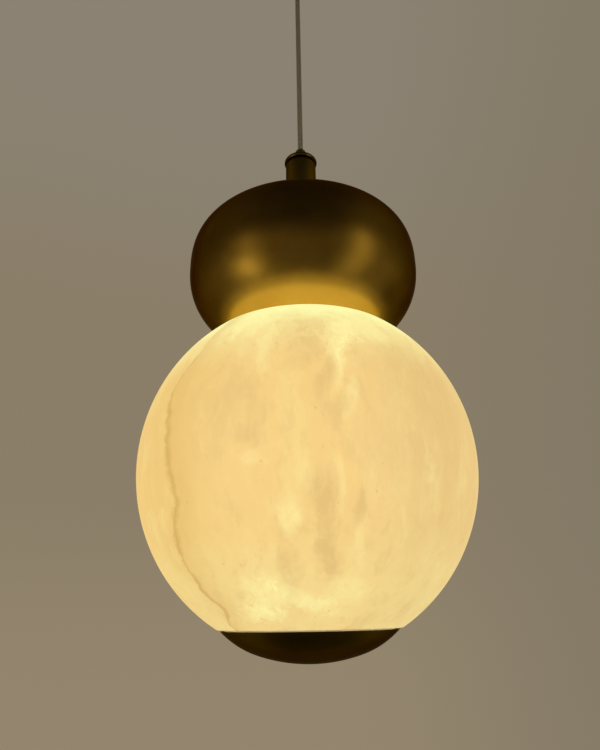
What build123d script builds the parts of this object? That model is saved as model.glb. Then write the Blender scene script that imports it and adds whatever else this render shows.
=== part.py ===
from build123d import *
from math import acos, asin, cos, degrees, sin, sqrt
import os

# Alabaster globe pendant light, hung from a ceiling on a taut round flex.
# Millimetres. The origin is the centre of the ceiling crossbar's top face, where it
# meets the ceiling. +Z points up, so the whole light hangs at negative heights.
# From the top: ceiling fitting, flex, brass collar, oval brass housing, hollow
# alabaster globe cut flat at its top and bottom, and a shallow brass bottom cap.

os.makedirs("parts", exist_ok=True)

# M10 x 1 lamp thread, shared by the nipple, the centre tube, the nuts and the grips
thread_r = 5.0
thread_bore_r = 3.6
thread_gap = 0.05
nut_across_flats = 14.0
nut_t = 4.0
nut_bevel = 0.8

# Round two-core flex with a steel strain wire
flex_r = 3.0
flex_fit = 0.05
core_r = 1.1
core_offset = 1.35
core_bend_r = 3.0

# Running clearance between pieces on different bodies
run_gap = 0.3

# Extra length of every cutting shape past the face that it cuts
cut_over = 1.0

# Hexagon socket of the grub screws and cross recess of the pan-head screws
socket_of_radius = 0.5
recess_l = 3.2
recess_w = 0.7

# Ceiling crossbar, a bent steel strip
crossbar_l = 112.0
crossbar_w = 24.0
crossbar_t = 2.5
crossbar_step = 14.0
crossbar_mid_l = 56.0
crossbar_joggle = 7.0
slot_spacing = 90.0
slot_l = 14.0
slot_w = 5.0

# Two-way terminal block on the crossbar's dropped middle
block_l = 20.0
block_w = 11.0
block_h = 9.0
block_edge = 1.0
block_ways = 2
block_way_r = 1.6
block_way_h = 5.4
block_screw_r = 1.3

# Canopy, a spun brass cup
canopy_r = 60.0
canopy_h = 28.0
canopy_wall = 1.2
canopy_corner_r = 10.0

# Upper cord grip, a turned brass body with a ball socket and a bell mouth
upper_grip_r = 9.0
upper_grip_h = 25.0
upper_grip_flange_r = 12.5
upper_grip_flange_t = 2.5
upper_grip_bevel = 1.0
nipple_top_over_nut = 1.0
nipple_engage = 6.0
socket_height = 5.0
mouth_lip = 2.2
mouth_r = 8.0
grub_r = 2.0
grub_l = 4.6
grub_drop = 11.0

# Outlet bush, a nylon ball with a double-flared bore, in the upper grip's socket
bush_ball_r = 5.6
bush_h = 4.0
bush_waist_gap = 0.3
bush_flare = 0.95

# Free length of flex between the two grips' mouths
cord_free = 310.5

# Lower cord grip, turned brass, with a threaded stem through the collar lid
lower_grip_r = 5.7
lower_grip_h = 11.5
lower_grip_top_r = 4.2
lower_grip_top_h = 1.8
lower_grip_stem = 14.0
lower_grip_hold = 9.0
lower_grip_bevel = 0.5
small_grub_r = 1.5
small_grub_l = 2.1
small_grub_drop = 6.5

# Collar: a round-edged lid over a plain neck
lid_r = 18.1
lid_edge = 5.4
lid_rise = 3.9
lid_crown_r = 8.0
lid_web = 4.0
lid_spigot = 6.0
lid_recess_r = 12.5
collar_groove = 1.2
neck_r = 16.7
neck_wall = 1.5
neck_floor = 3.0
neck_h = 80.5
neck_bevel = 0.7
spigot_gap = 0.2
coupler_r = 7.2
coupler_l = 20.0
tube_stem_gap = 0.5

# Washers on the centre tube
lock_washer_r = 9.0
lock_washer_t = 1.0
top_washer_r = 20.0
top_washer_t = 2.0

# Oval housing, spun brass: the upper and lower halves round off differently, and are
# soldered edge to edge at the widest level
housing_r = 115.2
housing_rise = 67.0
housing_upper_power = 2.92
housing_fall = 79.6
housing_lower_power = 2.2
housing_wall = 1.5
housing_land_r = 22.0
housing_rim_r = 58.0
housing_mouth_r = 50.0
oval_steps = 9

# Globe seat, a cast aluminium disc that centres the housing and the globe
seat_r = 56.0
seat_t = 6.6
seat_step_h = 3.0
seat_gap = 0.4
seat_spigot = 5.5
seat_wire_r = 3.2
seat_wire_at = 14.5

# Alabaster globe, an oval of revolution cut flat at the top and the bottom
globe_r = 150.0
globe_half_h = 154.0
globe_wall = 7.0
globe_top_cut_r = 93.0
globe_base_cut_r = 76.5
globe_top_t = 8.0
globe_top_hole_r = 30.0

# Silicone gaskets above and below the globe
top_gasket_r = 54.0
top_gasket_t = 1.5
base_gasket_r = 70.0
base_gasket_in_r = 62.5
base_gasket_t = 1.2

# Driver with its strap on the seat, and the junction block on the tube's other side
driver_l = 70.0
driver_w = 24.0
driver_h = 21.0
driver_edge = 2.5
driver_y = 22.0
strap_w = 10.0
strap_inset = 11.0
strap_t = 1.0
strap_foot = 8.0
strap_gap = 0.1
strap_screw_r = 1.5
strap_head_r = 2.9
strap_head_h = 2.0
strap_screw_l = 4.0
junction_l = 28.0
junction_w = 16.0
junction_h = 13.0
junction_y = 24.0
junction_edge = 1.5

# Side window of the centre tube, inside the housing
window_h = 16.0
window_w = 5.6
window_above_seat = 26.0

# Light core inside the globe: an aluminium extrusion with a board on each face
core_across = 36.0
core_len = 150.0
core_wall = 2.5
core_hub_r = 8.0
core_web = 2.0
core_lift = 10.0
core_faces = 6
board_w = 12.0
board_l = 140.0
board_t = 1.2
chip_w = 3.0
chip_h = 3.4
chip_t = 0.8
chips_per_board = 12
link_r = 23.0
link_t = 1.6
core_washer_r = 11.0
core_washer_t = 1.5

# Support plate under the globe
plate_r = 69.0
plate_t = 2.5

# Bottom cap, a spun brass dish with a threaded boss soldered in
cap_rim_r = 74.0
cap_crown_r = 140.0
cap_crown_half_w = 44.0
cap_shoulder_r = 77.0
cap_wall = 1.2
cap_rim_gap = 1.0
cap_boss_r = 11.0
cap_thread = 8.0
cap_thread_end_gap = 1.0
slip_washer_r = 10.0
slip_washer_t = 1.5

# Heights down the light, from the ceiling at zero
crossbar_mid_top = -crossbar_step
crossbar_mid_low = crossbar_mid_top - crossbar_t
nipple_top = crossbar_mid_top + nut_t + nipple_top_over_nut
nipple_low = -canopy_h - nipple_engage
upper_mouth = -canopy_h - upper_grip_h
pivot_z = upper_mouth + socket_height
lower_grip_top = upper_mouth - cord_free
cord_end = lower_grip_top - lower_grip_hold
lid_top = lower_grip_top - lower_grip_h
lid_low = lid_top - lid_rise - lid_edge
neck_top = lid_low - collar_groove
neck_low = neck_top - neck_h
stem_end = lid_top - lower_grip_stem
coupler_top = lid_top - lid_web
tube_top = stem_end - tube_stem_gap


def fall_at(radius, width, height, power):
    """Height of an oval's quarter above its widest level, where its radius is given."""
    angle = acos((radius / width) ** (power / 2))
    return height * sin(angle) ** (2 / power)


housing_mid = neck_low - fall_at(housing_land_r, housing_r, housing_rise, housing_upper_power)
housing_low = housing_mid - fall_at(housing_rim_r, housing_r, housing_fall, housing_lower_power)
seat_top = housing_low
seat_low = seat_top - seat_t
globe_top = seat_low - top_gasket_t
globe_mid = globe_top - globe_half_h * sqrt(1 - (globe_top_cut_r / globe_r) ** 2)
globe_base = globe_mid - globe_half_h * sqrt(1 - (globe_base_cut_r / globe_r) ** 2)
plate_top = globe_base - base_gasket_t
plate_low = plate_top - plate_t
support_nut_low = plate_low - nut_t
slip_washer_top = support_nut_low - run_gap
boss_top = slip_washer_top - slip_washer_t - run_gap
tube_low = boss_top - cap_thread
cap_rim = globe_base - cap_rim_gap
cap_turn = asin(cap_crown_half_w / cap_crown_r)
cap_shoulder_x = (cap_crown_r - cap_shoulder_r) * sin(cap_turn)
cap_shoulder_z = cap_rim + sqrt(cap_shoulder_r ** 2 - (cap_rim_r - cap_shoulder_x) ** 2)
cap_crown_z = cap_shoulder_z + (cap_crown_r - cap_shoulder_r) * cos(cap_turn)
cap_low = cap_crown_z - cap_crown_r
core_mid = globe_mid - core_lift
link_top = core_mid + core_len / 2 + link_t
window_mid = seat_top + seat_step_h + window_above_seat


def turned(*edges):
    """A solid turned about Z from the edges of an outline drawn as radius and height."""
    return revolve(Plane.XZ * make_face(list(edges)), Axis.Z)


def lathe(points):
    """A solid turned about Z from a straight-sided outline of radius and height."""
    return turned(*Polyline(*points, close=True).edges())


def ring(outer, inner, low, high):
    """A plain round ring, washer or tube between two heights."""
    return lathe([(inner, low), (outer, low), (outer, high), (inner, high)])


def rod(radius, low, high):
    """A plain round bar between two heights."""
    return Pos(0, 0, low) * Cylinder(radius, high - low, align=(Align.CENTER, Align.CENTER, Align.MIN))


def lamp_nut(low):
    """A bevelled hexagon nut on the lamp thread, with its lower face at the given height."""
    corner = nut_across_flats / sqrt(3)
    hexagon = RegularPolygon(nut_across_flats / 2, 6, major_radius=False)
    prism = Pos(0, 0, low) * extrude(hexagon, nut_t)
    bevelled = lathe([
        (thread_r + thread_gap, low),
        (corner - nut_bevel, low),
        (corner, low + nut_bevel / 2),
        (corner, low + nut_t - nut_bevel / 2),
        (corner - nut_bevel, low + nut_t),
        (thread_r + thread_gap, low + nut_t),
    ])
    return prism & bevelled


def wire(radius, bend, *points):
    """A round insulated wire along straight runs joined by arcs."""
    path = FilletPolyline(*points, radius=bend)
    start = Plane(origin=path @ 0, z_dir=path % 0)
    return sweep(start * Circle(radius), path=path)


def write(node, *solids):
    """Write a sub-part, one solid or several alike, to its own file."""
    shape = solids[0] if len(solids) == 1 else Compound(children=list(solids))
    shape.label = node
    export_step(shape, f"parts/{node}.step")


def crossbar():
    """Steel strip bent down in the middle, slotted at both ends for the ceiling screws."""
    half = crossbar_l / 2
    mid = crossbar_mid_l / 2
    foot = mid + crossbar_joggle
    drop = crossbar_step
    strip = Polyline(
        (-half, 0), (-foot, 0), (-mid, -drop), (mid, -drop), (foot, 0), (half, 0),
        (half, -crossbar_t), (foot + crossbar_t / 2, -crossbar_t), (mid, -drop - crossbar_t),
        (-mid, -drop - crossbar_t), (-foot - crossbar_t / 2, -crossbar_t), (-half, -crossbar_t),
        close=True,
    )
    bar = extrude(Plane.XZ * make_face(strip.edges()), crossbar_w / 2, both=True)
    bar -= rod(thread_r + thread_gap, crossbar_mid_low - cut_over, crossbar_mid_top + cut_over)
    slot = extrude(SlotOverall(slot_l, slot_w), crossbar_t + cut_over, both=True)
    for side in (-1, 1):
        bar -= Pos(side * slot_spacing / 2, 0, 0) * slot
    return bar


def block_place():
    """Centre of the terminal block, midway between the nut and the end of the dropped middle."""
    return (nut_across_flats / sqrt(3) + crossbar_mid_l / 2) / 2


def block_way_y(way):
    """Place across the block of one of its ways."""
    return (way - (block_ways - 1) / 2) * block_l / block_ways


def terminal_block():
    """White insulating block that stands on the crossbar's middle."""
    x_mid = block_place()
    base = crossbar_mid_top
    box = Box(block_w, block_l, block_h, align=(Align.CENTER, Align.CENTER, Align.MIN))
    block = Pos(x_mid, 0, base) * fillet(box.edges().filter_by(Axis.Z), block_edge)
    for way in range(block_ways):
        y = block_way_y(way)
        block -= Pos(x_mid, y, 0) * rod(block_screw_r, base + block_way_h, base + block_h + cut_over)
        way_cut = Cylinder(block_way_r, block_w + 2 * cut_over)
        block -= Pos(x_mid, y, base + block_way_h) * Rot(0, 90, 0) * way_cut
    return block


def ceiling_leads():
    """The flex's two cores, over the nipple's rim and into the block's ways."""
    start = nipple_top - core_bend_r
    turn = nipple_top + core_bend_r + core_r
    level = crossbar_mid_top + block_way_h
    entry = block_place() - block_w / 2
    leads = []
    for way, side in enumerate((-1, 1)):
        y = side * core_offset
        y_in = block_way_y(way)
        leads.append(wire(core_r, core_bend_r / 2, (0, y, start), (0, y, turn),
                          (entry - core_bend_r, y_in, level), (entry + core_r, y_in, level)))
    return leads


def canopy():
    """Spun cup, open at the ceiling, with a rounded corner and a central hole."""
    outer = canopy_r
    inner = canopy_r - canopy_wall
    corner = canopy_corner_r
    low = -canopy_h
    floor = low + canopy_wall
    hole = thread_r + thread_gap
    return turned(
        Line((hole, low), (outer - corner, low)),
        RadiusArc((outer - corner, low), (outer, low + corner), -corner),
        Line((outer, low + corner), (outer, 0)),
        Line((outer, 0), (inner, 0)),
        Line((inner, 0), (inner, low + corner)),
        RadiusArc((inner, low + corner), (outer - corner, floor), corner - canopy_wall),
        Line((outer - corner, floor), (hole, floor)),
        Line((hole, floor), (hole, low)),
    )


def upper_grip():
    """Flanged brass body: threaded socket on top, ball socket and bell mouth below."""
    top = -canopy_h
    ball = bush_ball_r + run_gap
    lip_z = pivot_z - mouth_lip
    lip_r = sqrt(ball ** 2 - mouth_lip ** 2)
    flange_low = top - upper_grip_flange_t
    body = lathe([
        (0, upper_mouth), (upper_grip_r - upper_grip_bevel, upper_mouth),
        (upper_grip_r, upper_mouth + upper_grip_bevel), (upper_grip_r, flange_low - upper_grip_bevel),
        (upper_grip_r + upper_grip_bevel, flange_low), (upper_grip_flange_r, flange_low),
        (upper_grip_flange_r, top), (0, top),
    ])
    body -= rod(thread_r + thread_gap, nipple_low - thread_gap, top + cut_over)
    body -= rod(flex_r + flex_fit, pivot_z, top)
    body -= Pos(0, 0, pivot_z) * Sphere(ball)
    body -= lathe([(0, upper_mouth - cut_over), (mouth_r, upper_mouth - cut_over),
                   (mouth_r, upper_mouth), (lip_r, lip_z), (0, lip_z)])
    body -= Pos(0, 0, top - grub_drop) * Rot(0, 90, 0) * Cylinder(
        grub_r + thread_gap, upper_grip_r + cut_over, align=(Align.CENTER, Align.CENTER, Align.MIN))
    return body


def grub_screw(radius, length, reach, z):
    """Socketed grub screw along X whose flat tip bears on the flex."""
    start = (Align.CENTER, Align.CENTER, Align.MIN)
    screw = Pos(reach, 0, z) * Rot(0, 90, 0) * Cylinder(radius, length, align=start)
    key = extrude(RegularPolygon(radius * socket_of_radius, 6), length / 2)
    return screw - Pos(reach + length / 2 + thread_gap, 0, z) * Rot(0, 90, 0) * key


def outlet_bush():
    """Nylon ball, flat above and below, whose bore flares both ways from its waist."""
    half = bush_h / 2
    waist = flex_r + bush_waist_gap
    ball = Pos(0, 0, pivot_z) * Sphere(bush_ball_r)
    slab = rod(bush_ball_r, pivot_z - half, pivot_z + half)
    bore = lathe([
        (0, pivot_z - half), (waist + bush_flare, pivot_z - half), (waist, pivot_z),
        (waist + bush_flare, pivot_z + half), (0, pivot_z + half),
    ])
    return (ball & slab) - bore


def lower_grip():
    """Small turned grip with a bevelled top, a bored stem and a side grub hole."""
    bevel_z = lower_grip_top - lower_grip_top_h
    grip = lathe([
        (0, stem_end), (thread_r - lower_grip_bevel, stem_end), (thread_r, stem_end + lower_grip_bevel),
        (thread_r, lid_top), (lower_grip_r, lid_top), (lower_grip_r, bevel_z),
        (lower_grip_top_r, lower_grip_top), (0, lower_grip_top),
    ])
    grip -= rod(flex_r + flex_fit, stem_end - cut_over, lower_grip_top + cut_over)
    grip -= Pos(0, 0, lower_grip_top - small_grub_drop) * Rot(0, 90, 0) * Cylinder(
        small_grub_r + thread_gap, lower_grip_r + cut_over, align=(Align.CENTER, Align.CENTER, Align.MIN))
    return grip


def collar_lid():
    """Round-edged lid, hollow underneath, with a spigot that drops into the neck."""
    edge_r = lid_edge / 2
    edge_top = lid_low + lid_edge
    spigot_r = neck_r - neck_wall - spigot_gap
    spigot_low = lid_low - lid_spigot
    hole = thread_r + thread_gap
    web_low = lid_top - lid_web
    return turned(
        Line((lid_recess_r, spigot_low), (spigot_r, spigot_low)),
        Line((spigot_r, spigot_low), (spigot_r, lid_low)),
        Line((spigot_r, lid_low), (lid_r - edge_r, lid_low)),
        RadiusArc((lid_r - edge_r, lid_low), (lid_r, lid_low + edge_r), -edge_r),
        RadiusArc((lid_r, lid_low + edge_r), (lid_r - edge_r, edge_top), -edge_r),
        Spline((lid_r - edge_r, edge_top), (lid_crown_r, lid_top), tangents=[(-1, 0), (-1, 0)]),
        Line((lid_crown_r, lid_top), (hole, lid_top)),
        Line((hole, lid_top), (hole, web_low)),
        Line((hole, web_low), (lid_recess_r, web_low)),
        Line((lid_recess_r, web_low), (lid_recess_r, spigot_low)),
    )


def collar_neck():
    """Plain cup with a thick floor that stands on the housing."""
    inner = neck_r - neck_wall
    floor = neck_low + neck_floor
    hole = thread_r + thread_gap
    return lathe([
        (hole, neck_low), (neck_r, neck_low), (neck_r, neck_top - neck_bevel),
        (neck_r - neck_bevel, neck_top), (inner, neck_top), (inner, floor), (hole, floor),
    ])


def centre_tube():
    """Threaded tube that carries everything, with a side window for the flex."""
    tube = ring(thread_r, thread_bore_r, tube_low, tube_top)
    window = Box(window_w, thread_r * 2, window_h, align=(Align.CENTER, Align.MAX, Align.CENTER))
    return tube - Pos(0, 0, window_mid) * window


def oval_side(width, rise, upper_power, fall, lower_power, top_r, low_angle):
    """Spline up an oval's side, from an angle below its widest level to a top radius."""
    points = []
    for step in range(oval_steps):
        angle = low_angle * (1 - step / oval_steps)
        points.append((width * cos(angle) ** (2 / lower_power),
                       housing_mid - fall * sin(angle) ** (2 / lower_power)))
    top_angle = acos((top_r / width) ** (upper_power / 2))
    for step in range(oval_steps + 1):
        angle = top_angle * step / oval_steps
        points.append((width * cos(angle) ** (2 / upper_power),
                       housing_mid + rise * sin(angle) ** (2 / upper_power)))
    return Spline(*points)


def oval_arc(centre, width, height, low_angle, high_angle):
    """Part of an ellipse between two angles in radians, counted from its widest level."""
    return EllipticalCenterArc(centre, width, height, degrees(low_angle),
                               arc_size=degrees(high_angle - low_angle))


def housing():
    """Both halves of the oval shell: a flat land on top, an inward rim at the bottom."""
    rim_angle = acos((housing_rim_r / housing_r) ** (housing_lower_power / 2))
    outer = oval_side(housing_r, housing_rise, housing_upper_power, housing_fall,
                      housing_lower_power, housing_land_r, rim_angle)
    in_fall = housing_fall - housing_wall
    in_drop = (housing_mid - housing_low - housing_wall) / in_fall
    in_angle = asin(in_drop ** (housing_lower_power / 2))
    inner = oval_side(housing_r - housing_wall, housing_rise - housing_wall, housing_upper_power,
                      in_fall, housing_lower_power, housing_land_r, in_angle)
    hole = thread_r + thread_gap
    rim_floor = housing_low + housing_wall
    top_out = (outer @ 1).Y
    top_in = (inner @ 1).Y
    shell = turned(
        outer,
        Line(outer @ 1, (hole, top_out)),
        Line((hole, top_out), (hole, top_in)),
        Line((hole, top_in), inner @ 1),
        inner,
        Line(inner @ 0, (housing_mouth_r, rim_floor)),
        Line((housing_mouth_r, rim_floor), (housing_mouth_r, housing_low)),
        Line((housing_mouth_r, housing_low), outer @ 0),
    )
    widest = Plane.XY.offset(housing_mid)
    return (split(shell, bisect_by=widest, keep=Keep.TOP),
            split(shell, bisect_by=widest, keep=Keep.BOTTOM), top_out, top_in)


def globe_seat():
    """Disc with a step that centres the housing and a spigot that centres the globe."""
    step_r = housing_mouth_r - seat_gap
    spigot_r = globe_top_hole_r - seat_gap
    step_top = seat_top + seat_step_h
    hole = thread_r + thread_gap
    seat = lathe([
        (hole, seat_low - seat_spigot), (spigot_r, seat_low - seat_spigot), (spigot_r, seat_low),
        (seat_r, seat_low), (seat_r, seat_top), (step_r, seat_top), (step_r, step_top), (hole, step_top),
    ])
    seat -= Pos(seat_wire_at, 0, 0) * rod(seat_wire_r, seat_low - seat_spigot - cut_over, step_top + cut_over)
    for side in (-1, 1):
        x = side * (driver_l / 2 - strap_inset)
        for foot in strap_feet():
            seat -= Pos(x, foot, 0) * rod(strap_screw_r, step_top - strap_screw_l, step_top + cut_over)
    return seat


def strap_feet():
    """How far across the seat the two feet of each driver strap have their screws."""
    half = driver_w / 2 + strap_gap + strap_t + strap_foot / 2
    return driver_y - half, driver_y + half


def globe():
    """Hollow oval of alabaster: a wide mouth below, a flat top with a central hole."""
    inner_r = globe_r - globe_wall
    inner_h = globe_half_h - globe_wall
    ceiling = globe_top - globe_top_t
    low_angle = asin((globe_base - globe_mid) / globe_half_h)
    top_angle = asin((globe_top - globe_mid) / globe_half_h)
    in_low_angle = asin((globe_base - globe_mid) / inner_h)
    in_top_angle = asin((ceiling - globe_mid) / inner_h)
    centre = (0, globe_mid)
    outer = oval_arc(centre, globe_r, globe_half_h, low_angle, top_angle)
    inner = oval_arc(centre, inner_r, inner_h, in_low_angle, in_top_angle)
    return turned(
        outer,
        Line(outer @ 1, (globe_top_hole_r, globe_top)),
        Line((globe_top_hole_r, globe_top), (globe_top_hole_r, ceiling)),
        Line((globe_top_hole_r, ceiling), inner @ 1),
        inner,
        Line(inner @ 0, outer @ 0),
    )


def driver():
    """Sealed driver box beside the tube."""
    box = Box(driver_l, driver_w, driver_h, align=(Align.CENTER, Align.CENTER, Align.MIN))
    box = fillet(box.edges().filter_by(Axis.Z), driver_edge)
    box = fillet(box.faces().sort_by(Axis.Z)[-1].edges(), driver_edge / 2)
    return Pos(0, driver_y, seat_top + seat_step_h) * box


def driver_strap(x):
    """Bent steel strap over the driver, with a holed foot on each side."""
    base = seat_top + seat_step_h
    near = driver_w / 2 + strap_gap
    far = near + strap_t
    top = driver_h + strap_gap
    foot = far + strap_foot
    outline = Polyline(
        (-foot, 0), (-near, 0), (-near, top), (near, top), (near, 0), (foot, 0), (foot, strap_t),
        (far, strap_t), (far, top + strap_t), (-far, top + strap_t), (-far, strap_t), (-foot, strap_t),
        close=True,
    )
    strap = extrude(Plane.YZ * make_face(outline.edges()), strap_w / 2, both=True)
    strap = Pos(x, driver_y, base) * strap
    for y in strap_feet():
        strap -= Pos(x, y, 0) * rod(strap_screw_r + thread_gap, base - cut_over, base + strap_t + cut_over)
    return strap


def pan_screw(x, y, under_head, shank_r, shank_l, head_r, head_h):
    """Cross-recessed pan-head screw pointing down, placed by the underside of its head."""
    screw = lathe([
        (0, under_head - shank_l), (shank_r, under_head - shank_l), (shank_r, under_head),
        (head_r, under_head), (head_r, under_head + head_h / 2),
        (head_r - head_h / 2, under_head + head_h), (0, under_head + head_h),
    ])
    for turn in (0, 90):
        cut = Box(recess_l, recess_w, head_h / 2, align=(Align.CENTER, Align.CENTER, Align.MIN))
        screw -= Pos(0, 0, under_head + head_h / 2) * Rot(0, 0, turn) * cut
    return Pos(x, y, 0) * screw


def junction_block():
    """Insulated junction box on the tube's other side."""
    box = Box(junction_l, junction_w, junction_h, align=(Align.CENTER, Align.CENTER, Align.MIN))
    box = fillet(box.edges().filter_by(Axis.Z), junction_edge)
    box = fillet(box.faces().sort_by(Axis.Z)[-1].edges(), junction_edge / 2)
    return Pos(0, -junction_y, seat_top + seat_step_h) * box


def mains_leads():
    """Two cores of the flex, out of the tube's window and down into the junction block."""
    leads = []
    block_top = seat_top + seat_step_h + junction_h
    for side in (-1, 1):
        x = side * core_offset
        leads.append(wire(core_r, core_bend_r / 2,
                          (x, -core_r / 2, window_mid + core_bend_r),
                          (x, -core_r / 2, window_mid - core_bend_r / 2),
                          (x, -junction_y, window_mid - core_bend_r),
                          (x, -junction_y, block_top)))
    return leads


def driver_leads():
    """Two straight cores low over the seat, from the junction block to the driver."""
    near = -junction_y + junction_w / 2
    far = driver_y - driver_w / 2
    z = seat_top + seat_step_h + core_r + run_gap
    lead = Cylinder(core_r, far - near, align=(Align.CENTER, Align.CENTER, Align.MIN))
    x = nut_across_flats / sqrt(3) + core_r
    return [Pos(side * x, near, z) * Rot(-90, 0, 0) * lead for side in (-1, 1)]


def led_leads():
    """Two cores from the driver, down through the seat and onto the light core's link board."""
    z = seat_top + seat_step_h + core_r + run_gap
    leads = []
    for side in (-1, 1):
        x = seat_wire_at + side * core_offset
        leads.append(wire(core_r, core_bend_r, (x, driver_y - driver_w / 2, z), (x, 0, z), (x, 0, link_top)))
    return leads


def light_core():
    """Hexagonal aluminium extrusion: an outer wall, a hub on the tube and six webs."""
    low = core_mid - core_len / 2
    outer = extrude(RegularPolygon(core_across / 2, core_faces, major_radius=False), core_len)
    inner = extrude(RegularPolygon(core_across / 2 - core_wall, core_faces, major_radius=False), core_len)
    web = Box(core_across / 2 - core_wall / 2, core_web, core_len, align=(Align.MIN, Align.CENTER, Align.MIN))
    core = outer - inner
    core += Cylinder(core_hub_r, core_len, align=(Align.CENTER, Align.CENTER, Align.MIN))
    for face in range(core_faces):
        core += Rot(0, 0, face_turn(face)) * web
    core -= Cylinder(thread_r + thread_gap, core_len, align=(Align.CENTER, Align.CENTER, Align.MIN))
    return Pos(0, 0, low) * core


def face_turn(face):
    """Direction in degrees of one flat of the light core."""
    return 360 / core_faces * (face + 0.5)


def led_strip(face):
    """Board with its row of light chips, flat on one face of the core."""
    board = Box(board_t, board_w, board_l, align=(Align.MIN, Align.CENTER, Align.CENTER))
    strip = Pos(core_across / 2, 0, 0) * board
    chip = Box(chip_t, chip_w, chip_h, align=(Align.MIN, Align.CENTER, Align.CENTER))
    pitch = board_l / chips_per_board
    for number in range(chips_per_board):
        z = (number - (chips_per_board - 1) / 2) * pitch
        strip += Pos(core_across / 2 + board_t, 0, z) * chip
    return Pos(0, 0, core_mid) * Rot(0, 0, face_turn(face)) * strip


def bottom_cap():
    """Shallow spun dish, open at the top: a wide crown arc runs into a tighter shoulder arc."""
    low, turn, rim = {}, {}, {}
    for wall in (0, cap_wall):
        crown = cap_crown_r - wall
        shoulder = cap_shoulder_r - wall
        low[wall] = (0, cap_crown_z - crown)
        turn[wall] = (crown * sin(cap_turn), cap_crown_z - crown * cos(cap_turn))
        reach = sqrt(shoulder ** 2 - (cap_shoulder_z - cap_rim) ** 2)
        rim[wall] = (cap_shoulder_x + reach, cap_rim)
    edges = [Line(low[0], low[cap_wall]), Line(rim[0], rim[cap_wall])]
    for wall in (0, cap_wall):
        edges.append(RadiusArc(low[wall], turn[wall], wall - cap_crown_r))
        edges.append(RadiusArc(turn[wall], rim[wall], wall - cap_shoulder_r))
    return turned(*edges)


def cap_boss():
    """Round boss with a blind threaded hole, shaped below to the inside of the dish."""
    inside = Pos(0, 0, cap_crown_z) * Sphere(cap_crown_r - cap_wall)
    boss = rod(cap_boss_r, cap_low, boss_top) & inside
    return boss - rod(thread_r + thread_gap, tube_low - cap_thread_end_gap, boss_top + cut_over)


# The ceiling fitting
write("ceiling_crossbar", crossbar())
write("ceiling_nipple", ring(thread_r, thread_bore_r, nipple_low, nipple_top))
write("crossbar_nuts", lamp_nut(crossbar_mid_top), lamp_nut(crossbar_mid_low - nut_t))
write("canopy", canopy())
write("terminal_block", terminal_block())
write("ceiling_leads", *ceiling_leads())
write("upper_cord_grip", upper_grip())
write("upper_grub_screw", grub_screw(grub_r, grub_l, flex_r + flex_fit, -canopy_h - grub_drop))
tail_low = pivot_z + bush_ball_r + run_gap
write("upper_flex_tail", rod(flex_r, tail_low, nipple_top - core_bend_r))

# The bush and the free flex
write("outlet_bush", outlet_bush())
write("flex_cord", rod(flex_r, cord_end, pivot_z))

# The collar and what hangs from the lower grip
write("lower_cord_grip", lower_grip())
write("lower_grub_screw", grub_screw(small_grub_r, small_grub_l, flex_r + flex_fit + run_gap,
                                     lower_grip_top - small_grub_drop))
write("lower_flex_tail", rod(flex_r, window_mid + core_bend_r, cord_end - run_gap))
write("collar_lid", collar_lid())
write("stem_coupler", ring(coupler_r, thread_r + thread_gap, coupler_top - coupler_l, coupler_top))
write("collar_neck", collar_neck())
write("centre_tube", centre_tube())
neck_floor_top = neck_low + neck_floor
write("collar_lock_washer", ring(lock_washer_r, thread_r + thread_gap, neck_floor_top,
                                 neck_floor_top + lock_washer_t))
write("collar_nut", lamp_nut(neck_floor_top + lock_washer_t))

# The housing and the driver on its seat
upper_half, lower_half, land_top, land_low = housing()
write("housing_upper_half", upper_half)
write("housing_lower_half", lower_half)
write("housing_washer", ring(top_washer_r, thread_r + thread_gap, land_low - top_washer_t, land_low))
write("housing_nut", lamp_nut(land_low - top_washer_t - nut_t))
write("globe_seat", globe_seat())
write("seat_nut", lamp_nut(seat_low - seat_spigot - nut_t))
write("led_driver", driver())
step_top = seat_top + seat_step_h
screws = []
for number, side in enumerate((-1, 1)):
    strap_x = side * (driver_l / 2 - strap_inset)
    write(f"driver_strap_{number + 1}", driver_strap(strap_x))
    for foot_y in strap_feet():
        screws.append(pan_screw(strap_x, foot_y, step_top + strap_t, strap_screw_r - thread_gap,
                                strap_screw_l, strap_head_r, strap_head_h))
write("strap_screws", *screws)
write("junction_block", junction_block())
write("mains_leads", *mains_leads())
write("driver_leads", *driver_leads())

# The globe and the light inside it
write("top_gasket", ring(top_gasket_r, globe_top_hole_r, globe_top, seat_low))
write("alabaster_globe", globe())
write("light_core", light_core())
for face_number in range(core_faces):
    write(f"led_strip_{face_number + 1}", led_strip(face_number))
core_low = core_mid - core_len / 2
core_top = core_mid + core_len / 2
write("link_board", ring(link_r, thread_r + thread_gap, core_top, link_top))
write("led_leads", *led_leads())
write("core_washers", ring(core_washer_r, thread_r + thread_gap, link_top, link_top + core_washer_t),
      ring(core_washer_r, thread_r + thread_gap, core_low - core_washer_t, core_low))
write("core_nuts", lamp_nut(link_top + core_washer_t), lamp_nut(core_low - core_washer_t - nut_t))

# What holds the globe up, and the cap that hides it
write("base_gasket", ring(base_gasket_r, base_gasket_in_r, plate_top, globe_base))
write("support_plate", ring(plate_r, thread_r + thread_gap, plate_low, plate_top))
write("support_nut", lamp_nut(support_nut_low))
write("cap_slip_washer", ring(slip_washer_r, thread_r + run_gap, slip_washer_top - slip_washer_t,
                              slip_washer_top))
write("bottom_cap", bottom_cap())
write("cap_boss", cap_boss())

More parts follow.
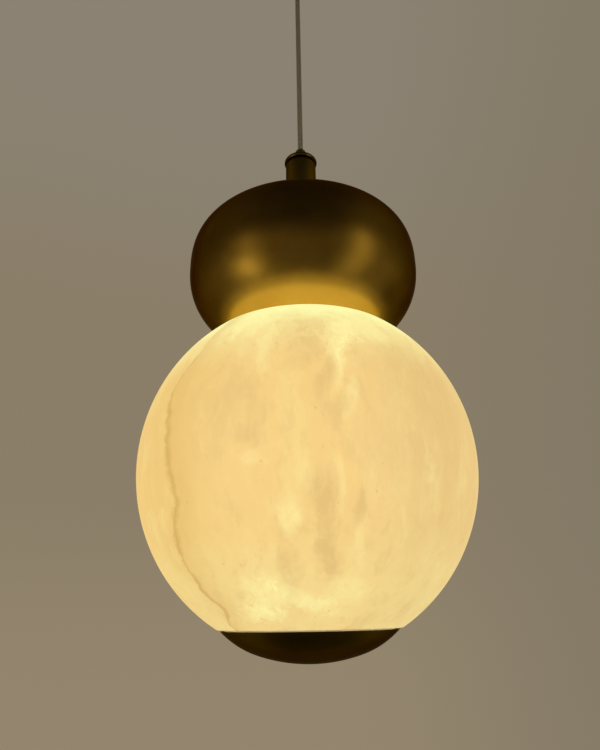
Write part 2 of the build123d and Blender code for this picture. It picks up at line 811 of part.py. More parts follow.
print("pivot height", round(pivot_z, 3))
print("flex from", round(pivot_z, 3), "to", round(cord_end, 3), "length", round(pivot_z - cord_end, 3))
print("lid top", round(lid_top, 3), "neck", round(neck_top, 3), round(neck_low, 3))
print("housing", round(land_top, 3), round(housing_mid, 3), round(housing_low, 3))
print("globe", round(globe_top, 3), round(globe_mid, 3), round(globe_base, 3))
print("cap", round(cap_rim, 3), round(cap_low, 3))
print("boss top", round(boss_top, 3), "tube low", round(tube_low, 3))
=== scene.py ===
import math

import bpy
from mathutils import Matrix, Vector


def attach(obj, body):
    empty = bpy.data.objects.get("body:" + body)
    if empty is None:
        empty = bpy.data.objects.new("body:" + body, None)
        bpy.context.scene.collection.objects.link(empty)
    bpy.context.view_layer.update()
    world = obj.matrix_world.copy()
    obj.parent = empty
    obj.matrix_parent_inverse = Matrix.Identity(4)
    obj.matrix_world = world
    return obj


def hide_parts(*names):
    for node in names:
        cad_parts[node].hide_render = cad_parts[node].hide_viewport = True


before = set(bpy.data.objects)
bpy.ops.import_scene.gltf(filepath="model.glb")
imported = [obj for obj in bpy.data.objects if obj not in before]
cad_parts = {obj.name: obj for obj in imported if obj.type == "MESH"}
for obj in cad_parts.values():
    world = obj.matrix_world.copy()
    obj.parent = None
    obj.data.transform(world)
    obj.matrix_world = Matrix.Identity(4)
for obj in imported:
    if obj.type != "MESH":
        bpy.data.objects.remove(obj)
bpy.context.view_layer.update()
scene = bpy.context.scene
scene.view_settings.view_transform = "Standard"

# Viewpoint
# The photograph looks up at the light from close by and from below the globe's
# middle. The camera leans a little, so the flex runs slightly to the left.
camera_place = (-0.0047, -0.5394, -0.8565)
camera_tilt_up = math.radians(21.98)
camera_lean = math.radians(-0.95)
camera_lens_mm = 28.8

camera_data = bpy.data.cameras.new("camera")
camera_data.sensor_width = 36.0
camera_data.lens = camera_lens_mm
camera = bpy.data.objects.new("camera", camera_data)
camera.matrix_world = (Matrix.Translation(camera_place)
                       @ Matrix.Rotation(math.radians(90) + camera_tilt_up, 4, "X")
                       @ Matrix.Rotation(camera_lean, 4, "Z"))
scene.collection.objects.link(camera)
scene.camera = camera

# Flex
# Round two-core flex, 6 mm thick, hanging dead straight between its two grips.
# A clear sheath shows the fine tinned braid under it, crossed in two helices.


class Term:
    """A socket of a node tree. Arithmetic on it adds the Math nodes."""

    def __init__(self, graph, socket):
        self.graph = graph
        self.socket = socket

    def __add__(self, other):
        return self.graph.math("ADD", self, other)

    def __radd__(self, other):
        return self.graph.math("ADD", other, self)

    def __sub__(self, other):
        return self.graph.math("SUBTRACT", self, other)

    def __rsub__(self, other):
        return self.graph.math("SUBTRACT", other, self)

    def __mul__(self, other):
        return self.graph.math("MULTIPLY", self, other)

    def __rmul__(self, other):
        return self.graph.math("MULTIPLY", other, self)

    def __truediv__(self, other):
        return self.graph.math("DIVIDE", self, other)

    def __rtruediv__(self, other):
        return self.graph.math("DIVIDE", other, self)

    def __pow__(self, other):
        return self.graph.math("POWER", self, other)


class Graph:
    """A node tree, of a material or of Geometry Nodes, that grows one node at a time."""

    def __init__(self, tree):
        self.tree = tree

    def node(self, kind, settings, links, out=0):
        """Add a node: its settings first, then the values or links of its sockets."""
        made = self.tree.nodes.new(kind)
        for label, setting in settings.items():
            setattr(made, label, setting)
        for label, value in links.items():
            for one in value if isinstance(value, list) else [value]:
                if isinstance(one, Term):
                    self.tree.links.new(one.socket, made.inputs[label])
                else:
                    made.inputs[label].default_value = one
        return Term(self, made.outputs[out])

    def math(self, operation, *terms):
        return self.node("ShaderNodeMath", {"operation": operation}, dict(enumerate(terms)))

    def split(self, vector):
        """The three parts of a vector."""
        first = self.node("ShaderNodeSeparateXYZ", {}, {0: vector})
        return [Term(self, socket) for socket in first.socket.node.outputs]

    def join(self, x, y, z):
        return self.node("ShaderNodeCombineXYZ", {}, {0: x, 1: y, 2: z})

    def fade(self, term, start, end):
        """A soft step from 0 at one value to 1 at another."""
        return self.node("ShaderNodeMapRange", {"interpolation_type": "SMOOTHSTEP"},
                         {"Value": term, "From Min": start, "From Max": end})

    def mix(self, mask, plain, covered):
        """Two colours by a mask, the second one where the mask is 1."""
        pair = [(*c, 1.0) if isinstance(c, tuple) else c for c in (plain, covered)]
        return self.node("ShaderNodeMix", {"data_type": "RGBA"}, {0: mask, 6: pair[0], 7: pair[1]}, 2)


class Finish(Graph):
    """A material on one principled shader, and the patterns that feed it."""

    def __init__(self, name, constants):
        self.material = bpy.data.materials.new(name)
        self.material.use_nodes = True
        super().__init__(self.material.node_tree)
        self.shader = self.tree.nodes["Principled BSDF"]
        for label, value in constants.items():
            self.shader.inputs[label].default_value = value
        self.place = self.node("ShaderNodeTexCoord", {}, {}, "Object")
        self.x, self.y, self.z = self.split(self.place)

    def off_axis(self):
        """Distance from the light's upright axis."""
        return self.math("SQRT", self.x * self.x + self.y * self.y)

    def feed(self, label, term):
        self.tree.links.new(term.socket, self.shader.inputs[label])

    def noise(self, vector, scale, detail=2.0, roughness=0.5, out=0):
        return self.node("ShaderNodeTexNoise", {}, {
            "Vector": vector, "Scale": scale, "Detail": detail, "Roughness": roughness}, out)

    def bump(self, height, distance, strength=1.0):
        self.feed("Normal", self.node("ShaderNodeBump", {}, {
            "Height": height, "Distance": distance, "Strength": strength}))


flex_thick = 0.006
flex_top = -0.048
flex_low = -0.3725
flex_near_end = 6 * flex_thick
flex_route = [flex_top, flex_top - flex_near_end, (flex_top + flex_low) / 2,
              flex_low + flex_near_end, flex_low]
braid_wires = 12
braid_turns = 520.0
braid_shade = (0.036, 0.031, 0.020)
braid_shine = (0.112, 0.097, 0.066)
braid_height = 0.00008

flex_curve = bpy.data.curves.new("flex", "CURVE")
flex_curve.dimensions = "3D"
flex_curve.bevel_depth = flex_thick / 2
flex_curve.bevel_resolution = 8
flex_curve.use_fill_caps = True
flex_line = flex_curve.splines.new("NURBS")
flex_line.points.add(len(flex_route) - 1)
for point, height in zip(flex_line.points, flex_route):
    point.co = (0.0, 0.0, height, 1.0)
flex_line.order_u = 3
flex_line.use_endpoint_u = True
flex = bpy.data.objects.new("flex", flex_curve)
scene.collection.objects.link(flex)

clear_flex = Finish("clear flex", {"Roughness": 0.32, "Coat Weight": 0.7, "Coat Roughness": 0.1})
around = clear_flex.math("ARCTAN2", clear_flex.y, clear_flex.x) * braid_wires
along = clear_flex.z * (braid_turns * 2 * math.pi)
right_lay = clear_flex.math("SINE", around + along)
left_lay = clear_flex.math("SINE", around - along)
braid = clear_flex.fade(clear_flex.math("MAXIMUM", right_lay, left_lay), -0.2, 0.9)
scuffs = clear_flex.noise(clear_flex.join(clear_flex.x, clear_flex.y, clear_flex.z * 0.2), 600.0, 3.0)
clear_flex.feed("Base Color", clear_flex.mix(braid, braid_shade, braid_shine))
clear_flex.feed("Roughness", 0.22 + scuffs * 0.2)
clear_flex.bump(braid, braid_height)
flex_curve.materials.append(clear_flex.material)

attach(flex, "flex")
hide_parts("flex_cord")


def coat(mesh, finish):
    """Give a mesh one finish in place of any other."""
    mesh.materials.clear()
    mesh.materials.append(finish.material)


def dress(finish, *nodes):
    """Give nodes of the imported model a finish."""
    for node in nodes:
        coat(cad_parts[node].data, finish)


dress(clear_flex, "upper_flex_tail", "lower_flex_tail")

# Ceiling fitting
# A spun brass canopy hides a zinc-plated steel crossbar, a terminal block and the
# threaded nipple. A turned brass grip below clamps the flex over a nylon bush.
mm = 0.001
satin_tone = (0.255, 0.153, 0.027)
satin_deep = (0.190, 0.110, 0.018)
lacquer_tint = (0.26, 0.22, 0.15, 1.0)
groove_shade_colour = (0.020, 0.012, 0.003)
groove_reach = 0.0026
groove_black = 0.0012


def spun_brass(name, middle, tone=satin_tone, deep=satin_deep, rings=420.0, groove=None):
    """Aged satin brass, lacquered, with the fine rings that spinning or turning leaves about Z.

    It can paint shade into a groove at one height."""
    brass = Finish(name, {"Metallic": 1.0, "Specular Tint": lacquer_tint})
    path = brass.math("ARCTAN2", brass.z - middle, brass.off_axis())
    grain = brass.noise(brass.join(brass.x * 5.0, brass.y * 5.0, path * rings), 1.0, 4.0, 0.6)
    patina = brass.noise(brass.place, 17.0, 5.0, 0.6)
    cloud = brass.fade(patina, 0.32, 0.68)
    colour = brass.mix(cloud * 0.7 + grain * 0.3, deep, tone)
    if groove:
        # Painted shade: the brass darkens within a few millimetres of the groove's height.
        painted_groove_shade = brass.fade(brass.math("ABSOLUTE", brass.z - groove), groove_reach, groove_black)
        colour = brass.mix(painted_groove_shade * 0.9, colour, groove_shade_colour)
    brass.feed("Base Color", colour)
    brass.feed("Roughness", 0.27 + grain * 0.12 + cloud * 0.06)
    brass.bump(grain, 0.00002, 0.5)
    return brass


def turned(name, outline, bevel, turns=128, bevel_steps=3):
    """A closed mesh turned about Z from a loop of radius and height in millimetres."""
    points = []
    faces = []
    rings = []
    for radius, height in outline:
        on_axis = radius < 1e-6
        if on_axis:
            rings.append([len(points)] * turns)
            points.append((0.0, 0.0, height * mm))
            continue
        rings.append(list(range(len(points), len(points) + turns)))
        for step in range(turns):
            angle = 2 * math.pi * step / turns
            points.append((radius * math.cos(angle) * mm, radius * math.sin(angle) * mm, height * mm))
    pairs = list(zip(rings, rings[1:] + rings[:1]))
    for low, high in pairs:
        if len(set(low)) == 1 and len(set(high)) == 1:
            continue
        for step in range(turns):
            nxt = (step + 1) % turns
            corners = []
            for corner in (low[step], low[nxt], high[nxt], high[step]):
                if corner not in corners:
                    corners.append(corner)
            faces.append(corners)
    mesh = bpy.data.meshes.new(name)
    mesh.from_pydata(points, [], faces)
    piece = bpy.data.objects.new(name, mesh)
    scene.collection.objects.link(piece)
    rounding = piece.modifiers.new("rounded edges", "BEVEL")
    rounding.width = bevel * mm
    rounding.segments = bevel_steps
    rounding.limit_method = "ANGLE"
    rounding.angle_limit = math.radians(25)
    return plain_mesh(piece)


def plain_mesh(piece, sharp_angle=40.0):
    """Turn a piece's modifiers into its own mesh, smooth between its sharp edges."""
    solid = bpy.data.meshes.new_from_object(piece.evaluated_get(bpy.context.evaluated_depsgraph_get()))
    piece.modifiers.clear()
    piece.data = solid
    solid.name = piece.name
    solid.shade_smooth()
    solid.set_sharp_from_angle(angle=math.radians(sharp_angle))
    return piece


def fit(piece, finish, body, slot, *nodes):
    """Finish a piece, let it ride on its body and put it in the place of its solids."""
    coat(piece.data, finish)
    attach(piece, body)
    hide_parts(*nodes)


def arc(centre_r, centre_z, radius, start, end, steps):
    """Points of an arc in an outline, by angles in degrees from straight outwards."""
    angles = [math.radians(start + (end - start) * step / steps) for step in range(steps + 1)]
    return [(centre_r + radius * math.cos(a), centre_z + radius * math.sin(a)) for a in angles]


canopy_r = 60.0
canopy_low = -28.0
canopy_wall = 1.2
canopy_corner_r = 10.0
canopy_hole_r = 5.05
canopy_middle = canopy_low + canopy_corner_r
canopy = turned("canopy_shell", [
    (canopy_hole_r, canopy_low),
    *arc(canopy_r - canopy_corner_r, canopy_middle, canopy_corner_r, -90, 0, 14),
    (canopy_r, 0.0),
    (canopy_r - canopy_wall, 0.0),
    *arc(canopy_r - canopy_corner_r, canopy_middle, canopy_corner_r - canopy_wall, 0, -90, 14),
    (canopy_hole_r, canopy_low + canopy_wall),
], bevel=0.4)
fit(canopy, spun_brass("canopy brass", canopy_middle * mm), "ceiling_fitting", "satin_brass", "canopy")

zinc_dull = (0.42, 0.42, 0.41)
zinc_bright = (0.68, 0.69, 0.70)
zinc = Finish("zinc plate", {"Metallic": 1.0})
crystals = zinc.noise(zinc.place, 900.0, 3.0)
dull = zinc.noise(zinc.place, 60.0, 3.0)
zinc.feed("Base Color", zinc.mix(crystals * 0.5 + dull * 0.5, zinc_dull, zinc_bright))
zinc.feed("Roughness", 0.28 + dull * 0.25)
zinc.bump(crystals, 0.00002, 0.4)
dress(zinc, "ceiling_crossbar", "ceiling_nipple", "crossbar_nuts", "upper_grub_screw", "lower_grub_screw",
      "stem_coupler", "centre_tube", "collar_lock_washer", "collar_nut", "housing_washer", "housing_nut",
      "seat_nut", "driver_strap_1", "driver_strap_2", "strap_screws", "core_washers", "core_nuts",
      "support_plate", "support_nut")

plastic_new = (0.80, 0.79, 0.75)
plastic_aged = (0.70, 0.68, 0.61)
white_plastic = Finish("white plastic", {})
mould_grain = white_plastic.noise(white_plastic.place, 1800.0, 2.0)
yellowing = white_plastic.noise(white_plastic.place, 45.0, 3.0)
white_plastic.feed("Base Color", white_plastic.mix(yellowing, plastic_new, plastic_aged))
white_plastic.feed("Roughness", 0.42 + mould_grain * 0.2)
white_plastic.bump(mould_grain, 0.00003, 0.5)
dress(white_plastic, "terminal_block", "led_driver", "junction_block")

core_blue = (0.030, 0.075, 0.23)
core_brown = (0.14, 0.055, 0.022)
insulation = Finish("core insulation", {})
side = insulation.fade(insulation.math("SINE", insulation.y * 400.0 + insulation.x * 400.0), -0.3, 0.3)
smears = insulation.noise(insulation.place, 300.0, 3.0)
insulation.feed("Base Color", insulation.mix(side, core_blue, core_brown))
insulation.feed("Roughness", 0.3 + smears * 0.25)
dress(insulation, "ceiling_leads", "mains_leads", "driver_leads", "led_leads")


def grained(name, constants, scale, detail, dark, pale, smooth, rougher):
    """A plain material with one fine noise in its tone and its roughness, and that noise."""
    made = Finish(name, constants)
    grain = made.noise(made.place, scale, detail)
    made.feed("Base Color", made.mix(grain, dark, pale))
    made.feed("Roughness", smooth + grain * rougher)
    return made, grain


nylon_dull = (0.66, 0.64, 0.57)
nylon_pale = (0.76, 0.74, 0.68)
nylon, _ = grained("nylon", {}, scale=700.0, detail=3.0, dark=nylon_dull, pale=nylon_pale,
                   smooth=0.35, rougher=0.2)
dress(nylon, "outlet_bush", "cap_slip_washer")

lathe_middle = -0.42
lathe_rings = 900.0
# Painted light: the grips' and the cap boss's turned brass has a lighter tone than the housing's brass.
turned_lit_tone = (0.46, 0.32, 0.06)
turned_lit_deep = (0.30, 0.205, 0.035)
turned_brass = spun_brass("turned brass", lathe_middle, turned_lit_tone, turned_lit_deep, lathe_rings)
dress(turned_brass, "upper_cord_grip")

# Collar
# A small turned grip holds the flex, and screws through a round-edged lid that drops
# into a plain turned neck. The groove between them is a dark line, with painted shade in the brass beside
# it.
grip_top = -363.5
grip_r = 5.7
grip_top_r = 4.2
grip_bevel_h = 1.8
grip_bore_r = 3.05
lid_top = -375.0
stem_r = 5.0
stem_low = -389.0
grip = turned("cord_grip", [
    (grip_bore_r, stem_low), (stem_r, stem_low), (stem_r, lid_top), (grip_r, lid_top),
    (grip_r, grip_top - grip_bevel_h), (grip_top_r, grip_top), (grip_bore_r, grip_top),
], turns=64, bevel=0.25)
fit(grip, turned_brass, "lamp", "brass_fitting", "lower_cord_grip")

lid_r = 18.1
lid_low = -384.3
lid_edge_r = 2.7
lid_crown_r = 8.0
lid_hole_r = 5.05
lid_web_low = -379.0
lid_recess_r = 12.5
lid_spigot_r = 15.0
lid_spigot_low = -390.3
lid_rise_steps = 10
lid_shoulder_r = lid_r - lid_edge_r
lid_shoulder = lid_low + 2 * lid_edge_r
lid_rise = []
for step in range(lid_rise_steps + 1):
    share = step / lid_rise_steps
    lid_rise.append((lid_shoulder_r + (lid_crown_r - lid_shoulder_r) * share,
                     lid_shoulder + (lid_top - lid_shoulder) * share ** 2 * (3 - 2 * share)))
lid = turned("collar_lid_shell", [
    (lid_recess_r, lid_spigot_low), (lid_spigot_r, lid_spigot_low), (lid_spigot_r, lid_low),
    *arc(lid_shoulder_r, lid_low + lid_edge_r, lid_edge_r, -90, 80, 14),
    *lid_rise,
    (lid_hole_r, lid_top), (lid_hole_r, lid_web_low), (lid_recess_r, lid_web_low),
], turns=96, bevel=0.15)
# Height of the groove, where the lid's and the neck's brass get painted shade.
collar_groove = -0.385
# Painted shade: the lid's brass has a darker tone than the housing's brass.
lid_shaded_tone = (0.190, 0.125, 0.024)
lid_shaded_deep = (0.130, 0.082, 0.014)
lid_brass = spun_brass("lid brass", lathe_middle, lid_shaded_tone, lid_shaded_deep, lathe_rings, collar_groove)
fit(lid, lid_brass, "lamp", "brass_fitting", "collar_lid")

neck_r = 16.7
neck_wall = 1.5
neck_top = -385.5
neck_low = -466.0
neck_floor = 3.0
neck = turned("collar_neck_shell", [
    (lid_hole_r, neck_low), (neck_r, neck_low), (neck_r, neck_top), (neck_r - neck_wall, neck_top),
    (neck_r - neck_wall, neck_low + neck_floor), (lid_hole_r, neck_low + neck_floor),
], turns=96, bevel=0.6)
# Painted light: the neck's brass has a lighter tone than the housing's brass, though it is the same brass
# as the lid.
neck_lit_tone = (0.300, 0.200, 0.032)
neck_lit_deep = (0.200, 0.130, 0.020)
neck_brass = spun_brass("neck brass", lathe_middle, neck_lit_tone, neck_lit_deep, lathe_rings, collar_groove)
fit(neck, neck_brass, "lamp", "brass_fitting", "collar_neck")

# Housing
# An oval shell of brass. Its two halves are spun over a former, soldered, finished
# satin, aged and lacquered. It hides the driver, which stands on the globe's seat.


class Turning(Graph):
    """A Geometry Nodes tree that turns an outline, given as a rule, about Z."""

    def __init__(self, name, turns, sizes):
        tree = bpy.data.node_groups.new(name, "GeometryNodeTree")
        super().__init__(tree)
        tree.interface.new_socket(name="Mesh", in_out="OUTPUT", socket_type="NodeSocketGeometry")
        self.values = {}
        for label, value in sizes.items():
            socket = tree.interface.new_socket(name=label, in_out="INPUT", socket_type="NodeSocketFloat")
            self.values[socket.identifier] = value
        inputs = tree.nodes.new("NodeGroupInput")
        self.size = {label: Term(self, inputs.outputs[label]) for label in sizes}
        self.turns = turns
        self.skins = []

    def skin(self, steps, outline):
        """Add a skin. The outline gives radius and height for a share from 0 to 1."""
        grid = self.node("GeometryNodeMeshGrid", {}, {
            "Size X": 1.0, "Size Y": 1.0, "Vertices X": self.turns + 1, "Vertices Y": steps + 1}, "Mesh")
        across, along, _ = self.split(self.node("GeometryNodeInputPosition", {}, {}))
        turn = (across + 0.5) * (2 * math.pi)
        radius, height = outline(along + 0.5)
        spot = self.join(radius * self.math("COSINE", turn), radius * self.math("SINE", turn), height)
        self.skins.append(self.node("GeometryNodeSetPosition", {}, {"Geometry": grid, "Position": spot}))

    def flat(self, steps, start, end):
        """Add a straight skin between two points of radius and height."""
        self.skin(steps, lambda share: [a + (b - a) * share for a, b in zip(start, end)])

    def make(self, name, material, merge=0.00002):
        """The finished mesh object, with the skins joined into one closed shell."""
        joined = self.node("GeometryNodeJoinGeometry", {}, {"Geometry": self.skins})
        merged = self.node("GeometryNodeMergeByDistance", {}, {"Geometry": joined, "Distance": merge})
        real = self.node("GeometryNodeRealizeInstances", {}, {"Geometry": merged})
        dressed = self.node("GeometryNodeSetMaterial", {}, {"Geometry": real, "Material": material})
        output = self.tree.nodes.new("NodeGroupOutput")
        self.tree.links.new(dressed.socket, output.inputs["Mesh"])
        piece = bpy.data.objects.new(name, bpy.data.meshes.new(name))
        scene.collection.objects.link(piece)
        modifier = piece.modifiers.new(name, "NODES")
        modifier.node_group = self.tree
        for identifier, value in self.values.items():
            modifier[identifier] = value
        return plain_mesh(piece)


housing_middle = -0.532817
housing_turns = 192
housing = Turning("oval housing", housing_turns, {
    "Half Width": 0.1152, "Rise": 0.067, "Upper Power": 2.92, "Fall": 0.0796, "Lower Power": 2.2,
    "Wall": 0.0015, "Middle": housing_middle, "Land Radius": 0.022, "Rim Radius": 0.058,
    "Mouth Radius": 0.050, "Hole Radius": 0.00505})
hs = housing.size


def height_angle(share, power):
    """Angle at which an oval of that power reaches a share of its height."""
    return housing.math("ARCSINE", share ** (power / 2))


def side_angle(radius, width, power):
    """Angle at which an oval of that power has a given radius."""
    return housing.math("ARCCOSINE", (radius / width) ** (power / 2))


def oval_point(width, height, power, angle):
    """Radius and unsigned height of an oval of that power at an angle."""
    return (width * housing.math("COSINE", angle) ** (2 / power),
            height * housing.math("SINE", angle) ** (2 / power))


def oval_arc(width, height, power, side, start, end):
    """Outline of an oval between two angles, above its middle on side 1 or below it on -1."""
    def outline(share):
        radius, away = oval_point(width, height, power, start + (end - start) * share)
        return radius, hs["Middle"] + away * side
    return outline


upper = hs["Upper Power"]
lower = hs["Lower Power"]
rim_angle = side_angle(hs["Rim Radius"], hs["Half Width"], lower)
land_angle = side_angle(hs["Land Radius"], hs["Half Width"], upper)
rim_drop = oval_point(hs["Half Width"], hs["Fall"], lower, rim_angle)[1]
land_rise = oval_point(hs["Half Width"], hs["Rise"], upper, land_angle)[1]
rim_z = hs["Middle"] - rim_drop
rim_floor_z = rim_z + hs["Wall"]
land_z = hs["Middle"] + land_rise
in_width = hs["Half Width"] - hs["Wall"]
in_rise = hs["Rise"] - hs["Wall"]
in_fall = hs["Fall"] - hs["Wall"]
in_rim_angle = height_angle((rim_drop - hs["Wall"]) / in_fall, lower)
in_rim_r = oval_point(in_width, in_fall, lower, in_rim_angle)[0]
in_land_angle = side_angle(hs["Land Radius"], in_width, upper)
in_land_z = hs["Middle"] + oval_point(in_width, in_rise, upper, in_land_angle)[1]

housing_steps = 48
housing.skin(housing_steps, oval_arc(hs["Half Width"], hs["Fall"], lower, -1, rim_angle, 0))
housing.skin(housing_steps, oval_arc(hs["Half Width"], hs["Rise"], upper, 1, 0, land_angle))
housing.flat(3, (hs["Land Radius"], land_z), (hs["Hole Radius"], land_z))
housing.flat(1, (hs["Hole Radius"], land_z), (hs["Hole Radius"], in_land_z))
housing.flat(3, (hs["Hole Radius"], in_land_z), (hs["Land Radius"], in_land_z))
housing.skin(housing_steps // 2, oval_arc(in_width, in_rise, upper, 1, in_land_angle, 0))
housing.skin(housing_steps // 2, oval_arc(in_width, in_fall, lower, -1, 0, in_rim_angle))
housing.flat(1, (in_rim_r, rim_floor_z), (hs["Mouth Radius"], rim_floor_z))
housing.flat(1, (hs["Mouth Radius"], rim_floor_z), (hs["Mouth Radius"], rim_z))
housing.flat(1, (hs["Mouth Radius"], rim_z), (hs["Rim Radius"], rim_z))
housing_brass = spun_brass("housing brass", housing_middle)
housing_shell = housing.make("housing_shell", housing_brass.material)
fit(housing_shell, housing_brass, "lamp", "satin_brass", "housing_upper_half", "housing_lower_half")

cast_dull = (0.40, 0.40, 0.41)
cast_bright = (0.62, 0.62, 0.63)
cast, sand = grained("cast aluminium", {"Metallic": 1.0}, scale=1400.0, detail=4.0,
                     dark=cast_dull, pale=cast_bright, smooth=0.42, rougher=0.2)
cast.bump(sand, 0.00005, 0.6)
dress(cast, "globe_seat")

# Globe
# One block of alabaster, turned hollow and honed, and cut flat at its top and its
# bottom. The light core inside shows up its veins, clouds and a few dark grains.
globe_r = 0.150
globe_half_h = 0.154
globe_middle = -0.732805
globe_turns = 224
globe_steps = 150
in_globe_steps = 70
globe = Turning("hollow globe", globe_turns, {
    "Radius": globe_r, "Half Height": globe_half_h, "Wall": 0.007, "Middle": globe_middle,
    "Top Cut Radius": 0.093, "Base Cut Radius": 0.0765, "Top Thickness": 0.008, "Hole Radius": 0.030})
gs = globe.size
in_r = gs["Radius"] - gs["Wall"]
in_h = gs["Half Height"] - gs["Wall"]
top_angle = globe.math("ARCCOSINE", gs["Top Cut Radius"] / gs["Radius"])
base_angle = 0 - globe.math("ARCCOSINE", gs["Base Cut Radius"] / gs["Radius"])
top_rise = gs["Half Height"] * globe.math("SINE", top_angle)
base_rise = gs["Half Height"] * globe.math("SINE", base_angle)
in_top_angle = globe.math("ARCSINE", (top_rise - gs["Top Thickness"]) / in_h)
in_base_angle = globe.math("ARCSINE", base_rise / in_h)
in_top_r = in_r * globe.math("COSINE", in_top_angle)
in_base_r = in_r * globe.math("COSINE", in_base_angle)
top_z = gs["Middle"] + top_rise
base_z = gs["Middle"] + base_rise
under_top_z = top_z - gs["Top Thickness"]


def ball_skin(width, height, start, end):
    """The outline of an oval skin between two angles."""
    def outline(share):
        angle = start + (end - start) * share
        return (width * globe.math("COSINE", angle), gs["Middle"] + height * globe.math("SINE", angle))
    return outline


globe.skin(globe_steps, ball_skin(gs["Radius"], gs["Half Height"], base_angle, top_angle))
globe.flat(6, (gs["Top Cut Radius"], top_z), (gs["Hole Radius"], top_z))
globe.flat(1, (gs["Hole Radius"], top_z), (gs["Hole Radius"], under_top_z))
globe.flat(4, (gs["Hole Radius"], under_top_z), (in_top_r, under_top_z))
globe.skin(in_globe_steps, ball_skin(in_r, in_h, in_top_angle, in_base_angle))
globe.flat(1, (in_base_r, base_z), (gs["Base Cut Radius"], base_z))

# Painted light: the stone's glow is an emission colour on its surface, standing in for the light core
# shining through the wall.
stone = Finish("lit alabaster", {"Specular IOR Level": 0.35, "Emission Strength": 0.92})
centre = stone.node("ShaderNodeMapping", {}, {
    "Vector": stone.place, "Location": (0.0, 0.0, -globe_middle)})
gx, gy, gz = stone.split(centre)


def vector(operation, links, out=0):
    """A step of arithmetic on whole vectors."""
    return stone.node("ShaderNodeVectorMath", {"operation": operation}, links, out)


def stretched(wide, tall, shift):
    """Coordinates that draw a pattern out up and down the block."""
    return stone.join(gx * wide + shift, gy * wide + shift, gz * tall + shift)


def warped(place, amount, scale):
    """Coordinates pushed about by a coarser noise."""
    push = vector("SUBTRACT", {0: stone.noise(centre, scale, 3.0, 0.55, 1), 1: (0.5, 0.5, 0.5)})
    return vector("ADD", {0: place, 1: vector("SCALE", {0: push, "Scale": amount})})


def drawn(wide, tall, shift, push, coarse, detail, roughness):
    """A noise drawn out up and down the block, and pushed about so that it looks natural."""
    return stone.noise(warped(stretched(wide, tall, shift), push, coarse), 1.0, detail, roughness)


ragged = drawn(wide=120.0, tall=42.0, shift=0.0, push=2.2, coarse=40.0, detail=8.0, roughness=0.62)
drifting = warped(centre, 0.014, 30.0)
cloud_depth = 0.045
cloud_raggedness = 2.6
cloud_edge = 1.55
cloud_full = 0.35


def cloud(side, up, wide, tall, lean=0.0, strength=1.0):
    """Mask of one cloud in the front wall, by its middle and half sizes in millimetres."""
    deep = -globe_r * math.sqrt(1 - (side * mm / globe_r) ** 2 - (up * mm / globe_half_h) ** 2)
    local = stone.node("ShaderNodeMapping", {"vector_type": "TEXTURE"}, {
        "Vector": drifting, "Location": (side * mm, deep, up * mm),
        "Rotation": (0.0, math.radians(lean), 0.0), "Scale": (wide * mm, cloud_depth, tall * mm)})
    away = vector("LENGTH", {0: local}, "Value")
    return stone.fade(away + (ragged - 0.5) * cloud_raggedness, cloud_edge, cloud_full) * strength


def clouds(*places):
    """Masks of several clouds, added up and held to 1."""
    masks = [cloud(*place) for place in places]
    return stone.math("MINIMUM", sum(masks[1:], masks[0]), 1.0)


glow_left = (0.805, 0.548, 0.188)
glow_middle = (0.850, 0.590, 0.223)
glow_right = (0.768, 0.545, 0.219)
glow_bright = (0.890, 0.755, 0.310)
glow_top = (0.965, 0.950, 0.420)
glow_white = (0.960, 0.865, 0.375)
cloud_grey = (0.716, 0.490, 0.190)
cloud_dark = (0.640, 0.432, 0.165)
vein_brown = (0.590, 0.370, 0.100)
vein_side = (0.690, 0.440, 0.136)
grain_brown = (0.499, 0.330, 0.107)

# The stone's own drawn-out patterns, all round it
streaks = drawn(wide=34.0, tall=9.0, shift=3.7, push=1.6, coarse=16.0, detail=6.0, roughness=0.6)
mottle = drawn(wide=84.0, tall=27.0, shift=7.1, push=2.0, coarse=26.0, detail=7.0, roughness=0.66)
wisps = drawn(wide=230.0, tall=60.0, shift=5.3, push=2.4, coarse=60.0, detail=5.0, roughness=0.62)
drifts = drawn(wide=15.0, tall=6.0, shift=9.4, push=1.8, coarse=12.0, detail=7.0, roughness=0.64)
feather = stone.fade(wisps, 0.34, 0.60) * 0.40 + 0.55
behind = stone.fade(gy, -0.060, 0.020) * feather

# The milky patches and the clouds that the photograph shows in the front wall, each
# with its place to the side and up, half width, half height, lean and strength
pale = clouds(
    (-30, -109, 17, 12, 0, 0.7), (-34, -122, 17, 5, 0, 0.7), (-2, -112, 20, 5, 20, 0.7),
    (24, -106, 14, 8, 0, 0.4), (-13, -63, 6, 10, 0, 0.55), (25, 75, 10, 26, 10, 0.75),
    (23, 45, 4, 22, 12, 0.5), (30, 17, 5, 16, 12, 0.4), (-47, 96, 28, 14),
    (-4, -30, 5, 16, 0, 0.2), (20, -40, 3, 18, 0, 0.35), (-30, 66, 6, 24, 0, 0.4),
    (-41, -24, 5, 5, 0, 0.25), (34, -78, 4, 18, 8, 0.25), (50, 86, 22, 14, 0, 0.7))
grey = clouds(
    (-9, 75, 9, 13, 0, 0.4), (-3, 56, 8, 20, 24, 0.7), (12, 32, 7, 20, 16), (20, 6, 7, 13, 16),
    (52, -13, 26, 20, 0, 0.6), (8, -51, 12, 18), (11, -80, 8, 22), (34, -56, 4, 12, 8),
    (-42, -7, 12, 9, 0, 0.8), (-50, 30, 9, 24, 0, 0.6), (-36, 11, 7, 18, 0, 0.6),
    (-12, -98, 7, 14, 0, 0.8), (-16, -84, 5, 12, 0, 0.7), (78, -19, 6, 20, 0, 0.9),
    (103, 15, 18, 48, 0, 0.7), (-68, 16, 8, 15, 0, 0.6), (-64, -18, 7, 6, 0, 0.6),
    (78, 47, 24, 30, 0, 0.5))
